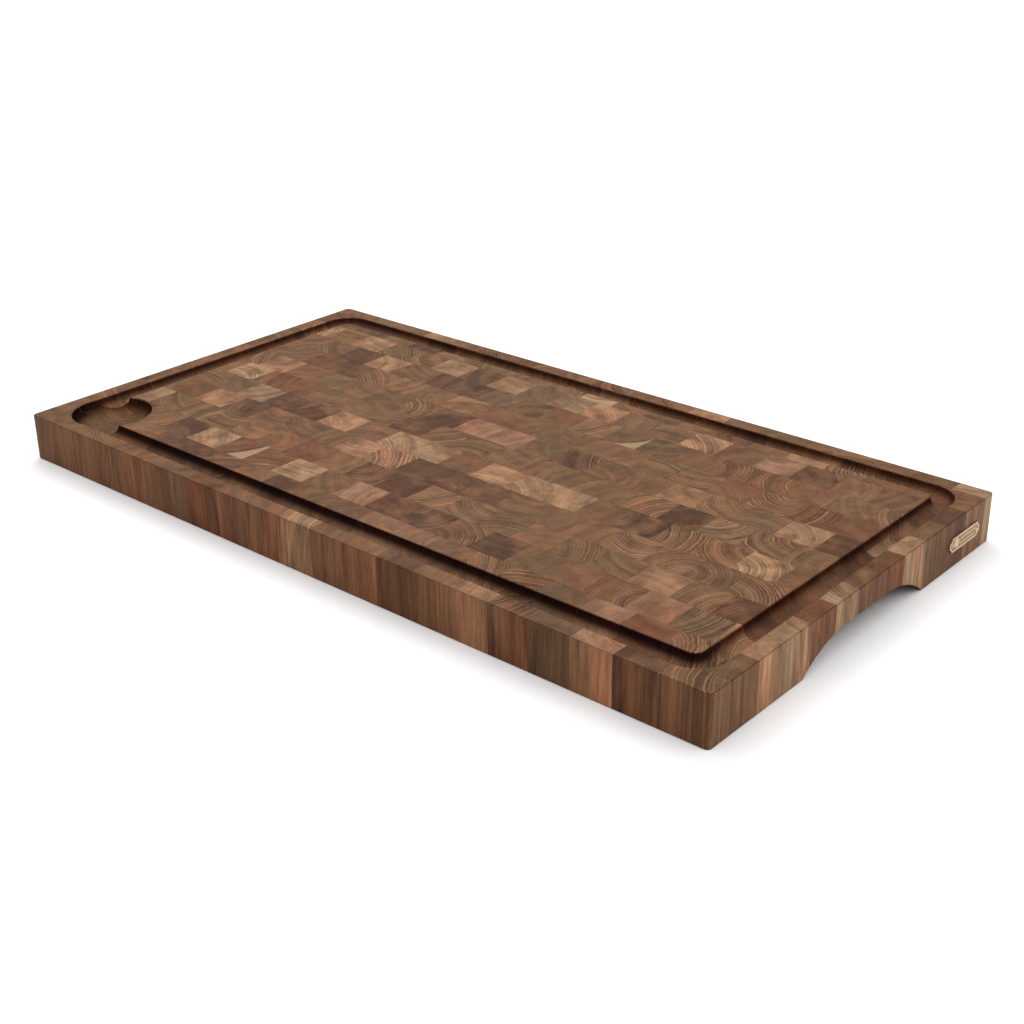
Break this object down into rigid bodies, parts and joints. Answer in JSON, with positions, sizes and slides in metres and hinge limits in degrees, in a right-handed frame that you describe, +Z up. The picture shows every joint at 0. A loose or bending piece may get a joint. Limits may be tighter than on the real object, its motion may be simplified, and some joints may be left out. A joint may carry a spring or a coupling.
{
  "type": "cutting board",
  "caption": "End-grain wooden carving board glued up from strips of upright blocks, with a juice groove, a corner well, finger grips under both ends and a pinned brass plate.",
  "frame": {"origin": "centre of the flat underside, on the surface that the board lies on", "axes": "+X along the board's length towards the end with the name plate, +Y across it away from the juice well's side, +Z up through its thickness"},
  "size_m": [0.5264, 0.28, 0.03],
  "materials": {
    "oiled_teak": "oiled, satin",
    "brass": "satin, lightly worn"
  },
  "bodies": {
    "root": {"strip_01": "oiled_teak", "strip_02": "oiled_teak", "strip_03": "oiled_teak", "strip_04": "oiled_teak", "strip_05": "oiled_teak", "strip_06": "oiled_teak", "strip_07": "oiled_teak", "strip_08": "oiled_teak", "strip_09": "oiled_teak", "strip_10": "oiled_teak", "strip_11": "oiled_teak", "strip_12": "oiled_teak", "strip_13": "oiled_teak", "name_plate": "brass", "plate_pins": "brass"}
  },
  "joints": []
}
